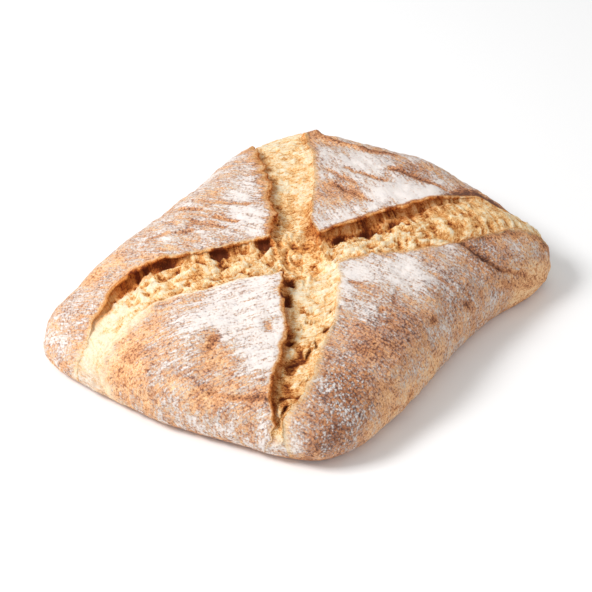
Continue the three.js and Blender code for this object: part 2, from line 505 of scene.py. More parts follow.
def leeShadeAcross(arm, out, across):
    total = 0
    for rim, depth, away in zip(arm["rims"], ("low", "high"), (across, 1 - across)):
        sheltered = np.minimum(1, alongRim(arm[depth], out) / leeShade["fullDepth"])
        fade = np.exp(-((away / leeShade["reach"]) ** 2))
        total = total + alongRim(rims[rim]["toastAndShade"], out) * sheltered * fade
    return leeShade["strength"] * total


sink = armField(sinkAcross)
openness = armField(evenAcross("open"))
# Painted shade in the lee of the high rims; the walls' toast is added to this further down.
toastAndShade = armField(leeShadeAcross) * openness
rough = armField(evenAcross("rough"))[floorMask]
strands = armField(fromMiddle("strands"))[floorMask]
sheets = armField(fromMiddle("sheets"))[floorMask]

# Relief of the torn crumb in the cuts, all in millimetres: a coarse and a fine web of ridges, soft lumps,
# fine grain, strands pulled across the arms, sheets that lap over each other, and round pores.
crumbLook = {
    "webSize": 7,
    "webHeight": 2.2,
    "fineSize": 2.8,
    "fineHeight": 0.7,
    "bendSize": 6,
    "bend": 3.5,
    "lumpSize": 13,
    "lumpHeight": 1.6,
    "grainSize": 1.4,
    "grainHeight": 0.35,
    "strandSpacing": 2.8,
    "strandLength": 20,
    "strandHeight": 1.2,
    "sheetLength": 19,
    "sheetHeight": 2.6,
    "sheetSlant": 0.3,
    "sheetWaves": [(17, 1.2, 42), (6, 0.34, 43)],
    "sheetShadow": 0.3,
    "patchSize": 9,
    "patchMiddle": 0.5,
    "patchContrast": 1.9,
    "patchMost": 1.2,
    "poreCell": 6.5,
    "poreShare": 0.4,
    "poreSmallest": 0.16,
    "poreSpread": 0.3,
    "poreDepth": 0.8,
    "holeStrength": 0.8,
    "leastGrain": 0.3,
}
ridgeSharpness = 2.4
# Painted shade: how much darker each kind of low place in the crumb is painted.
crumbShade = {"web": 0.42, "fine": 0.3, "pore": 0.28, "cavity": 0.24, "lump": 0.06}
crumbShade.update({"strand": 0.3, "sheet": 0.6})
armSpan = {"length": 150, "width": 30}  # about, in millimetres

# Deep holes torn under the rims: place seen from above, length, width, direction in degrees and depth.
cavities = [
    ((-60, -62), 24, 4, 50, 2.2),
    ((-68, -82), 18, 3.5, 84, 1.4),
    ((-34, -37), 9, 6, 45, 4.5),
    ((-26, -41), 5, 4.5, 0, 5),
    ((-58, -85), 6, 6, 0, 2.5),
    ((-49, -77), 10, 6, 50, 1.6),
    ((-56, -90), 7, 6, 30, 2.2),
    ((-14, -16), 7, 4, 30, 2.5),
    ((-3, -7), 8, 4, 20, 2.2),
    ((15, 13), 8, 5, 62, 4.5),
    ((24, 28), 16, 7, 64, 5),
    ((32, 44), 10, 6, 62, 3),
    ((13, -34), 9, 7, 10, 5.5),
    ((20, -47), 11, 9, -40, 6),
    ((36, -66), 13, 8, -60, 5),
    ((39, -50), 10, 2.5, 30, 2),
    ((33, 2), 4, 3, 30, 2),
    ((23, -10), 4, 3, 30, 2),
    ((48, -82), 12, 9, -62, 5),
    ((54, -94), 12, 8, -62, 4),
    ((57, -101), 10, 6, -60, 2),
    ((-22, 3), 4, 3, 40, 3),
]
cavityEdge = {"ragged": 0.45, "size": 4, "steepness": 0.7}
floorPoints = plain[floorMask]
alongArm = np.zeros(floorMask.shape)
acrossArmMm = np.zeros(floorMask.shape)
alongArm[:, inArm] = (outwardShare * armSpan["length"])[:, None]
alongArm[inArm, :] = np.maximum(alongArm[inArm, :], (outwardShare * armSpan["length"])[None])
floorMm = floorAcross[inArm] * armSpan["width"]
acrossArmMm[:, inArm] = floorMm[None]
acrossArmMm[inArm, far:] = floorMm[:, None]
acrossArmMm[inArm, :near] = floorMm[:, None]
acrossMm, alongMm = acrossArmMm[floorMask], alongArm[floorMask]


# Noise turned into ridges, which run where it crosses zero.
def ridged(places, size, seed):
    return np.clip(1 - ridgeSharpness * np.abs(noiseAt(places, size, seed)), 0, 1)


def poreDepths():
    look = crumbLook
    depths = np.zeros(len(floorPoints))
    for spot, point in enumerate(floorPoints):
        distances, centres = noise.voronoi(Vector(point) / look["poreCell"])
        chance = noise.cell(centres[0] * 7.31)
        if chance < look["poreShare"]:
            size = look["poreSmallest"] + look["poreSpread"] * (chance / look["poreShare"])
            roundness = math.sqrt(max(0.0, 1 - (distances[0] / size) ** 2))
            depths[spot] = roundness * size * look["poreCell"] * look["poreDepth"]
    return depths


def cavityHeights():
    heights = np.zeros(len(floorPoints))
    ragged = 1 + cavityEdge["ragged"] * noiseAt(floorPoints, cavityEdge["size"], 41)
    for place, length, width, degrees, depth in cavities:
        turn = math.radians(degrees)
        turned = np.array([[math.cos(turn), -math.sin(turn)], [math.sin(turn), math.cos(turn)]])
        away = (floorPoints[:, :2] - np.array(place)) @ turned
        inside = np.hypot(away[:, 0] / length * 2, away[:, 1] / width * 2) * ragged
        heights = np.minimum(heights, -depth * np.clip(1 - inside**2, 0, 1) ** cavityEdge["steepness"])
    return heights


bends = np.stack([noiseAt(floorPoints, crumbLook["bendSize"], seed) for seed in (35, 36, 37)], axis=-1)
bent = floorPoints + bends * crumbLook["bend"]
web = ridged(bent, crumbLook["webSize"], 31)
fineWeb = ridged(bent, crumbLook["fineSize"], 32)
lumps = noiseAt(floorPoints, crumbLook["lumpSize"], 33) * crumbLook["lumpHeight"] * noiseGain
grain = noiseAt(floorPoints, crumbLook["grainSize"], 38) * crumbLook["grainHeight"] * noiseGain
stretched = [alongMm / crumbLook["strandSpacing"], acrossMm / crumbLook["strandLength"]]
ridges = ridged(np.stack(stretched + [floorPoints[:, 0] / 60], axis=-1), 1, 34) - 0.5
# Each sheet rises outwards along its arm, up to a torn lip, and the sheets come in patches.
sheetPhase = (alongMm + crumbLook["sheetSlant"] * acrossMm) / crumbLook["sheetLength"]
for size, strength, seed in crumbLook["sheetWaves"]:
    sheetPhase = sheetPhase + strength * noiseAt(floorPoints, size, seed)
sheetRise = sheetPhase % 1
patchNoise = noiseAt(floorPoints, crumbLook["patchSize"], 44)
patches = crumbLook["patchMiddle"] + crumbLook["patchContrast"] * patchNoise
sheetLift = sheets * np.clip(patches, 0, crumbLook["patchMost"])
pores = poreDepths()
hollows = cavityHeights()

webRelief = crumbLook["webHeight"] * (web - 0.5) + crumbLook["fineHeight"] * (fineWeb - 0.5)
holes = crumbLook["holeStrength"]
grainShare = crumbLook["leastGrain"] + (1 - crumbLook["leastGrain"]) * rough
relief = rough * (webRelief + lumps - holes * pores + holes * hollows) + grainShare * grain
relief = relief + strands * ridges * crumbLook["strandHeight"]
relief = relief + sheetLift * (sheetRise - 0.5) * crumbLook["sheetHeight"]
crumbHeight = np.zeros(floorMask.shape)
crumbHeight[floorMask] = relief
# Painted shade in the crumb: darker in the web's valleys, pores and cavities, on low lumps, between strands
# and under each sheet's lip.
shade = crumbShade["web"] * (1 - web) ** 2 + crumbShade["fine"] * (1 - fineWeb) ** 2
shade = shade + crumbShade["pore"] * pores - crumbShade["cavity"] * hollows - crumbShade["lump"] * lumps
strandShade = crumbShade["strand"] * strands * (0.5 - ridges)
sheetShade = crumbShade["sheet"] * sheetLift * np.clip(1 - sheetRise / crumbLook["sheetShadow"], 0, 1)
paintedCrumbShade = np.zeros(floorMask.shape)
paintedCrumbShade[floorMask] = np.clip(rough * shade + strandShade + sheetShade, 0, 1)
print("crumb relief made for", len(floorPoints), "points")

# Marks on the crust, with their places seen from above. A negative depth stands up, and brown tells how far
# the bare crust shows.
# Creases: from, to, depth and width in mm, brown.
creases = [
    ((60, 47), (69, 49), 0.8, 1.3, 0.8),
    ((69, 49), (86, 54), 1.7, 1.2, 0.7),
    ((86, 54), (94, 60), 1.7, 1.2, 0.6),
    ((94, 60), (104, 77), 1.1, 1.2, 0.5),
    ((72, 45), (92, 54), -1.3, 2.6, 0),
    ((97, 57), (108, 92), -1.6, 3.0, 0.3),
    ((-66, 86), (-60, 97), -3.0, 3.4, 0.1),
    ((-58, 98), (-26, 100), -1.6, 2.2, 0.5),
    ((-26, 100), (-7, 104), -1.0, 2.2, 0.5),
    ((-79, -15), (-64, -12), 1.1, 1.2, 0.5),
    ((-62, -23), (-42, -19), 0.9, 1.3, 0.4),
    ((-53, -14), (-38, -12), 0.6, 1.2, 0.5),
    ((-60, -2), (-42, 4), 0.7, 1.3, 0.5),
    ((-77, -44), (-58, -30), 0.6, 1.2, 0.4),
    ((-16, 49), (13, 48), 0.8, 1.3, 0.5),
    ((-20, 71), (8, 71), 0.9, 1.4, 0.5),
    ((3, 86), (39, 89), 0.9, 1.4, 0.6),
    ((-28, 62), (-4, 58), 0.7, 1.2, 0.4),
    ((33, -112), (53, -102), 1.0, 1.1, 0.6),
    ((19, -117), (33, -112), 0.7, 1.1, 0.3),
    ((43, -19), (48, -17), 0.7, 1.2, 0.5),
    ((65, -4), (69, -16), 0.4, 1.2, 0.2),
]
# Pits: place, size and depth in mm, brown.
pits = [
    ((6, -93), 2.6, 1.5, 0.9),
    ((7, -98), 2.2, 1.1, 0.8),
    ((25, -71), 2.6, 0.9, 0.4),
    ((67, -25), 2.2, 0.7, 0.5),
    ((89, -4), 3, 0.9, 0.5),
    ((98, -41), 3, 1.2, 0.5),
    ((96, -54), 2.6, 1.0, 0.5),
    ((93, 25), 2.4, 0.7, 0.5),
]
undulations = [(46, 1.5, 51), (19, 0.8, 52), (8, 0.45, 53), (3.2, 0.32, 54)]  # size and height in mm, seed


# The strength of every mark over the skin, from 0 to 1, with its depth and brown.
def markShapes():
    shapes = []
    for start, finish, depth, width, brown in creases:
        start, finish = loafToSkin([start, finish])
        run = finish - start
        share = np.clip((skinPlaces - start) @ run / (run @ run), 0, 1)
        away = np.linalg.norm(skinPlaces - start - share[:, None] * run, axis=1)
        shapes.append((depth, brown, np.exp(-((away / width) ** 2))))
    for place, size, depth, brown in pits:
        away = np.linalg.norm(skinPlaces - loafToSkin([place])[0], axis=1)
        shapes.append((depth, brown, np.exp(-((away / size) ** 2))))
    return shapes


allPoints = plain.reshape(-1, 3)
markBend = {"size": 7, "reach": 0.9}
unevenLines = np.stack([noiseAt(allPoints, markBend["size"], seed) for seed in (56, 57)], axis=-1)
skinPlaces = skin.reshape(-1, 2) + markBend["reach"] * unevenLines
marks = markShapes()
crustHeight = sum(noiseAt(allPoints, size, seed) * height * noiseGain for size, height, seed in undulations)
crustHeight -= sum(depth * shape for depth, brown, shape in marks)
crustHeight = crustHeight.reshape(floorMask.shape)
markBrown = sum(brown * shape for depth, brown, shape in marks).reshape(floorMask.shape)


def flapSpans(flap):
    return [gridSides[way]["span"] for way in flap["towards"]]


def flapCorner(flap):
    return [gridSides[way]["corner"] for way in flap["towards"]]


# What the rims do to the crust beside them: it curls up, is scorched and bare, and is coloured like crumb.
curlReach = 7
scorchEdge = {"ragged": 0.7, "size": 5}
atRims = {name: np.zeros(floorMask.shape) for name in ("curl", "bare", "bake", "crumb")}


def fadeOut(away, reach):
    return np.exp(-((away / reach) ** 2))


for flap in flaps.values():
    spanI, spanJ = flapSpans(flap)
    ci, cj = flapCorner(flap)
    flapPoints = plain[spanI, spanJ]
    unevenness = noiseAt(flapPoints.reshape(-1, 3), scorchEdge["size"], 71).reshape(flapPoints.shape[:2])
    ragged = 1 + scorchEdge["ragged"] * unevenness
    shares = outwardShare[spanI][:, None], outwardShare[spanJ][None, :]
    rimPoints = plain[spanI, cj : cj + 1], plain[ci : ci + 1, spanJ]
    for name, share, rimPoint in zip(flap["rims"], shares, rimPoints):
        rim = rims[name]
        away = np.linalg.norm(flapPoints - rimPoint, axis=2)
        scorched = fadeOut(away, alongRim(rim["scorch"], share) * ragged)
        changes = {
            "curl": alongRim(rim["curl"], share) * fadeOut(away, curlReach),
            "bare": scorched * alongRim(rim["bare"], share),
            "bake": scorched * rim["scorchBake"],
            "crumb": fadeOut(away, alongRim(rim["soft"], share) * ragged),
        }
        for effect, change in changes.items():
            field = atRims[effect]
            field[spanI, spanJ] = np.maximum(field[spanI, spanJ], change)

# How the crust is finished round places on it: place and size in millimetres, then more or less flour, a
# darker or paler bake, and how much the flour has drawn together into clumps.
crustSpots = [
    ((5, -60, 54), 27, {"flour": 0.28}),
    ((-5, -85, 50), 14, {"flour": 0.16}),
    ((-15, -105, 43), 12, {"flour": 0.14}),
    ((30, -85, 47), 16, {"flour": 0.22}),
    ((25, -122, 18), 20, {"flour": 0.16}),
    ((20, -116, 34), 20, {"flour": -0.3, "bake": 0.06}),
    ((-32, -120, 30), 26, {"flour": -0.34}),
    ((45, -106, 35), 8, {"flour": -0.3, "bake": 0.3}),
    ((-50, 12, 55), 22, {"flour": 0.2}),
    ((-33, -12, 56), 14, {"flour": 0.2}),
    ((-72, -42, 48), 16, {"flour": 0.12}),
    ((-62, 0, 54), 8, {"flour": -0.2}),
    ((-82, -62, 42), 18, {"flour": -0.12, "bake": -0.06}),
    ((-92, -76, 35), 9, {"flour": -0.3, "bake": -0.05}),
    ((-20, 80, 52), 17, {"flour": 0.3}),
    ((8, 66, 55), 30, {"flour": 0.16}),
    ((15, 57, 56), 10, {"flour": 0.26}),
    ((12, 24, 57), 15, {"flour": 0.26}),
    ((32, 76, 53), 17, {"flour": 0.3}),
    ((-12, 40, 57), 10, {"flour": -0.26, "bake": 0.28, "clump": 0.5}),
    ((2, 50, 56), 9, {"flour": -0.3, "bake": 0.16}),
    ((15, 92, 51), 16, {"flour": -0.2, "bake": 0.4, "clump": 0.5}),
    ((41, 66, 54), 12, {"flour": 0.22}),
    ((53, 94, 45), 9, {"flour": -0.6, "bake": 0.5}),
    ((60, 104, 40), 10, {"flour": -0.5, "bake": 0.34}),
    ((45, -8, 55), 17, {"flour": 0.28}),
    ((66, 6, 51), 15, {"flour": 0.26}),
    ((60, -34, 51), 11, {"flour": 0.24}),
    ((51, -17, 54), 5, {"flour": -0.3, "bake": 0.2}),
    ((86, 20, 42), 17, {"flour": -0.06, "bake": 0.4, "clump": 0.4}),
    ((84, 56, 42), 17, {"flour": -0.06, "bake": 0.46, "clump": 0.6}),
    ((80, -22, 45), 14, {"flour": -0.14, "bake": 0.4, "clump": 0.2}),
    ((73, -44, 45), 19, {"flour": -0.2, "bake": 0.36}),
    ((78, -76, 38), 18, {"flour": -0.08, "bake": 0.56, "clump": 0.9}),
    ((85, -96, 22), 16, {"flour": -0.2, "bake": 0.6, "clump": 0.6}),
    ((96, 30, 20), 18, {"flour": -0.14, "bake": 0}),
    ((97, -15, 16), 20, {"flour": -0.2, "bake": -0.14}),
    ((95, -58, 16), 20, {"flour": -0.2, "bake": -0.1}),
    ((106, 82, 10), 16, {"flour": -0.7, "bake": -0.3}),
]
# How much darker or paler the crumb is in places.
crumbSpots = [
    ((3, -8, 49), 15, {"bake": 1.0}),
    ((-26, -34, 48), 15, {"bake": 0.3}),
    ((-14, 22, 52), 16, {"bake": 0.2}),
    ((54, -98, 36), 24, {"bake": 0.46}),
    ((44, -70, 44), 12, {"bake": 0.16}),
    ((68, 72, 48), 24, {"bake": 0.2}),
    ((38, 28, 50), 12, {"bake": -0.2}),
    ((-55, 62, 48), 22, {"bake": 0.06}),
    # These four make the crumb darker along the foot of the high back-left rim.
    ((-21, 3, 52), 6, {"bake": 0.4}),
    ((-31, 15, 52), 6, {"bake": 0.36}),
    ((-41, 28, 52), 6, {"bake": 0.4}),
    ((-53, 38, 50), 7, {"bake": 0.3}),
    ((-62, -104, 32), 26, {"bake": -0.3}),
    ((30, -30, 48), 14, {"bake": -0.12}),
]
finishBase = {"flour": 0.5, "bake": 0.4, "clump": 0.0}
spotStrength = {"flour": 0.8, "bake": 0.6, "clump": 1.0}
streakLook = {"size": (18, 2.1, 9), "flour": 0.13}
uneven = {"flourSize": 14, "flour": 0.1, "bakeSize": 9, "bake": 0.1}
nearBase = {"height": 7, "flour": 0.5, "bake": 0.25}
streakLean = 0.5  # how far the streaks follow the height of the crust


def finishField(kind, spots):
    value = np.full(len(allPoints), finishBase[kind])
    for place, size, finish in spots:
        if kind in finish:
            away = np.linalg.norm(allPoints - np.array(place), axis=1)
            value += spotStrength[kind] * finish[kind] * np.exp(-((away / size) ** 2))
    return value.reshape(floorMask.shape)


def noiseField(points, size, seed):
    return noiseAt(points, size, seed).reshape(floorMask.shape) * noiseGain


# Along and across the streaks of each flap, and across and along the arms in the cuts.
streakPlace = np.zeros(floorMask.shape + (3,))
for flap in flaps.values():
    spanI, spanJ = flapSpans(flap)
    turn = math.radians(flap["streaks"])
    x, y, z = (plain[spanI, spanJ, axis] for axis in range(3))
    streakPlace[spanI, spanJ, 0] = x * math.cos(turn) + y * math.sin(turn) - z * streakLean
    streakPlace[spanI, spanJ, 1] = y * math.cos(turn) - x * math.sin(turn)
streakPlace[floorMask, 0] = acrossMm
streakPlace[floorMask, 1] = alongMm
streakPlace[..., 2] = plain[..., 2] * streakLean

flour = finishField("flour", crustSpots)
clump = finishField("clump", crustSpots)
bake = np.where(floorMask, finishField("bake", crumbSpots), finishField("bake", crustSpots))
streaky = streakPlace.reshape(-1, 3) / np.array(streakLook["size"])
flour += streakLook["flour"] * noiseField(streaky.tolist(), 1, 61)
flour += uneven["flour"] * noiseField(allPoints, uneven["flourSize"], 62)
bake += uneven["bake"] * noiseField(allPoints, uneven["bakeSize"], 63)
lowness = np.clip(1 - plain[..., 2] / nearBase["height"], 0, 1)
flour -= nearBase["flour"] * lowness + atRims["bare"] + markBrown
bake += nearBase["bake"] * lowness + atRims["bake"] + np.where(floorMask, 0, 0.5 * markBrown)

# Relief fades out towards the flat base, and the crust's own relief is weaker in the open cuts.
reliefLook = {"fullFrom": 8, "lostInCuts": 0.6}
standing = np.clip(plain[..., 2] / reliefLook["fullFrom"], 0, 1)
kept = np.where(floorMask, 1 - reliefLook["lostInCuts"] * openness, 1)
cutDepth = np.where(floorMask, sink * openness - crumbHeight * openness, 0)
height = crustHeight * standing * kept + atRims["curl"] - cutDepth
points = plain + normals * height[..., None]
print("crust and floor raised")

# The walls under the rims, row by row from the top: how far out and down each row lies, in terms of the
# lip, the undercut, the distance to the floor's edge, the crust's thickness and the depth. Then how far it
# is toasted, with painted shade mixed in, how far it folds, and how much painted shade it gets under the
# lip.
wallKeys = ("lip", "under", "out", "thick", "down", "toastAndShade", "fold", "shade")
wallRows = [
    (0.45, 0.0, 0.0, 0.05, 0.0, 0.6, 0.0, 0.0),
    (0.85, 0.0, 0.02, 0.25, 0.0, 0.85, 0.0, 0.0),
    (1.0, 0.0, 0.06, 0.6, 0.02, 1.0, 0.0, 0.0),
    (0.75, -0.1, 0.1, 1.0, 0.06, 1.0, 1.6, 0.7),
    (0.2, -0.7, 0.15, 0.6, 0.38, 1.0, 1.6, 0.7),
    (0.0, -1.0, 0.25, 0.2, 0.7, 0.95, 1.6, 0.7),
    (0.0, -0.35, 0.55, 0.0, 0.92, 0.7, 1.6, 0.7),
]
wallLook = {
    "lipWave": 0.7,
    "lipWaveSize": 6,
    "foldSize": 2.4,
    "rag": 0.3,
    "ragSize": 2.2,
    "rowShift": 0.6,
    "fullDepth": 4,
    "thickShare": 0.45,
    "shade": 0.15,
    "foldShade": 0.9,
    "shadeDepth": 6,
}
crumbOnCrust = {"strength": 0.75, "fade": [(0, 1), (0.86, 1), (0.96, 0)]}
outFromCross = np.maximum(outwardShare[:, None], outwardShare[None])
rimOpen = alongRim(crumbOnCrust["fade"], outFromCross)
crumb = np.where(floorMask, openness, crumbOnCrust["strength"] * atRims["crumb"] * rimOpen)
shadeUnder = np.zeros(floorMask.shape)


# Every grid point of the walls round a flap, with the rim's point above it, the floor's point below it, its
# row from 1, and the rim that it hangs under with the share along it.
def wallPoints(flap):
    si, sj = flap["towards"]
    ci, cj = flapCorner(flap)
    floorI, floorJ = ci + si * cells["wall"], cj + sj * cells["wall"]
    rimI, rimJ = (rims[name] for name in flap["rims"])
    for row in range(1, cells["wall"]):
        for step, i in enumerate(index[gridSides[si]["outward"]]):
            yield (i, cj + sj * row), (i, cj), (i, floorJ), row, rimI, step / near
        for step, j in enumerate(index[gridSides[sj]["outward"]]):
            yield (ci + si * row, j), (ci, j), (floorI, j), row, rimJ, step / near
        for a in range(1, row + 1):
            for b in range(1, row + 1):
                if max(a, b) == row:
                    farI = ci + si * round(a * cells["wall"] / row)
                    farJ = cj + sj * round(b * cells["wall"] / row)
                    yield (ci + si * a, cj + sj * b), (ci, cj), (farI, farJ), row, rimI, 0.0


for flap in flaps.values():
    for place, above, below, row, rim, share in wallPoints(flap):
        shape = dict(zip(wallKeys, wallRows[row - 1]))
        edge, foot, up = points[above], points[below], normals[above]
        drop = max(float((edge - foot) @ up), 0.0)
        out = foot - edge + up * drop
        width = max(float(np.linalg.norm(out)), 1e-6)
        deep = min(drop / wallLook["fullDepth"], 1)
        wave = 1 + wallLook["lipWave"] * noise.noise(Vector(edge) / wallLook["lipWaveSize"])
        lip = float(alongRim(rim["lip"], share)) * wave
        under = float(alongRim(rim["under"], share))
        thick = min(crustThickness, wallLook["thickShare"] * drop)
        sideways = shape["lip"] * lip + shape["under"] * under + shape["out"] * width
        down = shape["thick"] * thick + shape["down"] * (drop - thick)
        fold = noise.noise(Vector(edge) / wallLook["foldSize"])
        rowPlace = Vector((0, 0, row * wallLook["rowShift"]))
        fine = noise.noise(Vector(edge) / wallLook["ragSize"] + rowPlace)
        rag = (shape["fold"] * fold + wallLook["rag"] * fine) * deep
        points[place] = edge + out / width * (sideways + rag) - up * down
        crumb[place] = openness[above]
        # The wall's toast is a real browned edge, with painted shade in the lip's shadow mixed in.
        toastAndShade[place] = openness[above] * shape["toastAndShade"] * float(alongRim(rim["toastAndShade"], share)) * deep
        # Painted shade: in the folds of the wall and under the lip, deeper where the wall drops further.
        paintedFoldShade = np.clip(wallLook["shade"] - wallLook["foldShade"] * fold, 0, 1)
        shadeUnder[place] = paintedFoldShade * min(1, drop / wallLook["shadeDepth"]) * shape["shade"]
points[..., 2] = np.maximum(points[..., 2], 0)
print("walls and lips turned")

# What the material reads at each point of the mesh.
fields = {
    "crumb": crumb,
    "toastAndShade": toastAndShade,
    # Painted shade: in the crumb's low places and under the lips.
    "paintedShade": np.maximum(paintedCrumbShade, shadeUnder),
    "flour": np.clip(flour, 0, 1),
    "bake": np.clip(bake, 0, 1),
    "clump": np.clip(clump, 0, 1),
}
# The loaf's UV map is two round islands: the skin, with wider walls than the grid has, and the base.
skinMap = {"middle": 0.43, "radius": 0.42, "wallShare": 0.2}
baseMap = {"middle": 0.87, "radius": 0.12}
baseSteps = [0.97, 0.85, 0.7, 0.5, 0.4]  # each ring under the base against the one before


# Carries the open border in under the base, ring by ring, and closes it.
def closeBase(bm, uvLayer):
    border = [edge for edge in bm.edges if edge.is_boundary]
    baseReach = max(vert.co.xy.length for edge in border for vert in edge.verts)
    topFaces = len(bm.faces)
    for step in baseSteps:
        made = bmesh.ops.extrude_edge_only(bm, edges=border)["geom"]
        ringVerts = [item for item in made if isinstance(item, bmesh.types.BMVert)]
        bmesh.ops.scale(bm, vec=(step, step, 1), verts=ringVerts)
        border = [item for item in made if isinstance(item, bmesh.types.BMEdge)]
    bmesh.ops.holes_fill(bm, edges=border, sides=0)
    bm.faces.ensure_lookup_table()
    middle = Vector((baseMap["middle"], baseMap["middle"]))
    for face in bm.faces[topFaces:]:
        for loop in face.loops:
            loop[uvLayer].uv = loop.vert.co.xy / baseReach * baseMap["radius"] + middle


# The loaf's mesh starts as one grid, and its points take the places worked out above.
def makeLoafMesh():
    mesh = bpy.data.meshes.new("hearthLoaf")
    bm = bmesh.new()
    bmesh.ops.create_grid(bm, x_segments=last, y_segments=last, size=1)
    layers = {name: bm.verts.layers.float.new(name) for name in fields}
    streakLayer = bm.verts.layers.float_vector.new("streakPlace")
    uvLayer = bm.loops.layers.uv.new("OFBake")
    uvPlaces = laySkin(skinMap["wallShare"]) / skinLength * skinMap["radius"] + skinMap["middle"]
    gridPlace = {}
    for vert in bm.verts:
        place = round((vert.co.x + 1) / 2 * last), round((vert.co.y + 1) / 2 * last)
        gridPlace[vert.index] = place
        vert.co = Vector(points[place]) * metresPerMm
        vert[streakLayer] = Vector(streakPlace[place])
        for name, field in fields.items():
            vert[layers[name]] = field[place]
    for face in bm.faces:
        for loop in face.loops:
            loop[uvLayer].uv = uvPlaces[gridPlace[loop.vert.index]]
    closeBase(bm, uvLayer)
    bmesh.ops.recalc_face_normals(bm, faces=bm.faces)
    for face in bm.faces:
        face.smooth = True
    bm.to_mesh(mesh)
    bm.free()
    return mesh


mesh = makeLoafMesh()
loaf = bpy.data.objects.new("hearthLoaf", mesh)
bpy.context.scene.collection.objects.link(loaf)
print("loaf mesh:", len(mesh.polygons), "faces")

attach(loaf, "root")
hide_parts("loaf")


# Colours are given as they look on a screen, from 0 to 255.
def tone(red, green, blue):
    return tuple(((part / 255 + 0.055) / 1.055) ** 2.4 for part in (red, green, blue)) + (1,)


tones = {
    "flour": tone(239, 234, 231),
    "crust": [
        (0.0, tone(250, 218, 172)),
        (0.3, tone(236, 182, 128)),
        (0.55, tone(202, 136, 86)),
        (0.8, tone(146, 86, 50)),
        (1.0, tone(88, 46, 26)),
    ],
    # Toasted crumb, which also paints the shade on the walls and the floor by the rims.
    "toastAndShade": [
        (0.0, tone(246, 178, 98)),
        (0.4, tone(224, 132, 54)),
        (0.8, tone(172, 82, 28)),
        (1.0, tone(112, 46, 16)),
    ],
    "crumb": [
        (0.0, tone(255, 240, 210)),
        (0.25, tone(252, 215, 158)),
        (0.5, tone(230, 165, 94)),
        (0.76, tone(176, 98, 38)),
        (1.0, tone(104, 46, 16)),
    ],
}


def addNode(tree, kind, inputs, output=0, **settings):
    node = tree.nodes.new(kind)
    for name, value in settings.items():
        setattr(node, name, value)
    for name, value in inputs.items():
        if isinstance(value, bpy.types.NodeSocket):
            tree.links.new(value, node.inputs[name])
        else:
            node.inputs[name].default_value = value
    return node.outputs[output]


def calc(tree, operation, *values):
    return addNode(tree, "ShaderNodeMath", dict(enumerate(values)), operation=operation)


def fineNoise(tree, place, scale, detail=3, roughness=0.6):
    inputs = {"Vector": place, "Scale": scale, "Detail": detail, "Roughness": roughness}
    return addNode(tree, "ShaderNodeTexNoise", inputs)


# Adds values, each times its own weight.
def addUp(tree, *parts):
    total = 0.0
    for value, weight in parts:
        total = calc(tree, "MULTIPLY_ADD", value, weight, total)
    return total


def ease(tree, value, low, high):
    inputs = {"Value": value, "From Min": low, "From Max": high}
    return addNode(tree, "ShaderNodeMapRange", inputs, interpolation_type="SMOOTHSTEP")


def blend(tree, share, first, second):
    return addNode(tree, "ShaderNodeMix", {0: share, 6: first, 7: second}, 2, data_type="RGBA")


def colourRamp(tree, value, stops):
    node = tree.nodes.new("ShaderNodeValToRGB")
    elements = node.color_ramp.elements
    while len(elements) < len(stops):
        elements.new(0.5)
    for element, (position, colour) in zip(elements, stops):
        element.position = position
        element.color = colour
    tree.links.new(value, node.inputs["Fac"])
    return node.outputs["Color"]


def startGroup(name, inputs, outputs):
    tree = bpy.data.node_groups.new(name, "ShaderNodeTree")
    for title, kind in inputs.items():
        tree.interface.new_socket(title, in_out="INPUT", socket_type=kind)
    for title, kind in outputs.items():
        tree.interface.new_socket(title, in_out="OUTPUT", socket_type=kind)
    source = tree.nodes.new("NodeGroupInput")
    target = tree.nodes.new("NodeGroupOutput")
    return tree, source.outputs, target.inputs


floatKind, vectorKind, colourKind = "NodeSocketFloat", "NodeSocketVector", "NodeSocketColor"

# Dry flour that clings in grains and streaks, and in lumpy clumps where it was wet. Scales are per metre,
# or per millimetre along and across the streaks. Weights tell how far each texture says where flour lies.
flourLook = {
    "grainScale": 900,
    "blotScale": 260,
    "fleckScale": 760,
    "clumpScale": 620,
    "clumpBend": 0.003,
    "fineStreaks": (0.22, 1.15, 0.7),
    "broadStreaks": (0.1, 0.9, 0.5),
    "weights": {"grain": 0.28, "fine": 0.28, "blot": 0.1, "broad": 0.24, "fleck": 0.1},
    "clumpWeight": 0.42,
    "clumpTop": 0.86,
    "clumpFall": 0.85,
    "bareEdge": 0.67,
    "amountShift": -0.34,
    "crispBand": (0.035, 0.045),
    "softBand": (0.13, 0.13),
    "crispShare": 0.55,
    "gap": (0.5, 0.85),
    "thickness": 0.4,
}


def streakNoise(tree, streak, scale, detail, roughness):
    drawn = addNode(tree, "ShaderNodeMapping", {"Vector": streak, "Scale": scale})
    return fineNoise(tree, drawn, 1, detail, roughness)


# Places bent a little to and fro, so that clumps aren't round.
def bendPlace(tree, place, reach):
    inputs = {"Vector": place, "Scale": 260, "Detail": 2, "Roughness": 0.5}
    colour = addNode(tree, "ShaderNodeTexNoise", inputs, "Color")
    shift = addNode(tree, "ShaderNodeVectorMath", {0: colour, "Scale": reach}, operation="SCALE")
    return addNode(tree, "ShaderNodeVectorMath", {0: place, 1: shift}, operation="ADD")


def cellDistance(tree, place, scale):
    return addNode(tree, "ShaderNodeTexVoronoi", {"Vector": place, "Scale": scale}, "Distance")


def addWeighted(tree, parts, weights):
    return addUp(tree, *[(value, weights[name]) for name, value in parts.items()])


# How far a value has passed an edge, eased over a band below and above it.
def passed(tree, value, edge, below, above):
    return ease(tree, value, calc(tree, "SUBTRACT", edge, below), calc(tree, "ADD", edge, above))


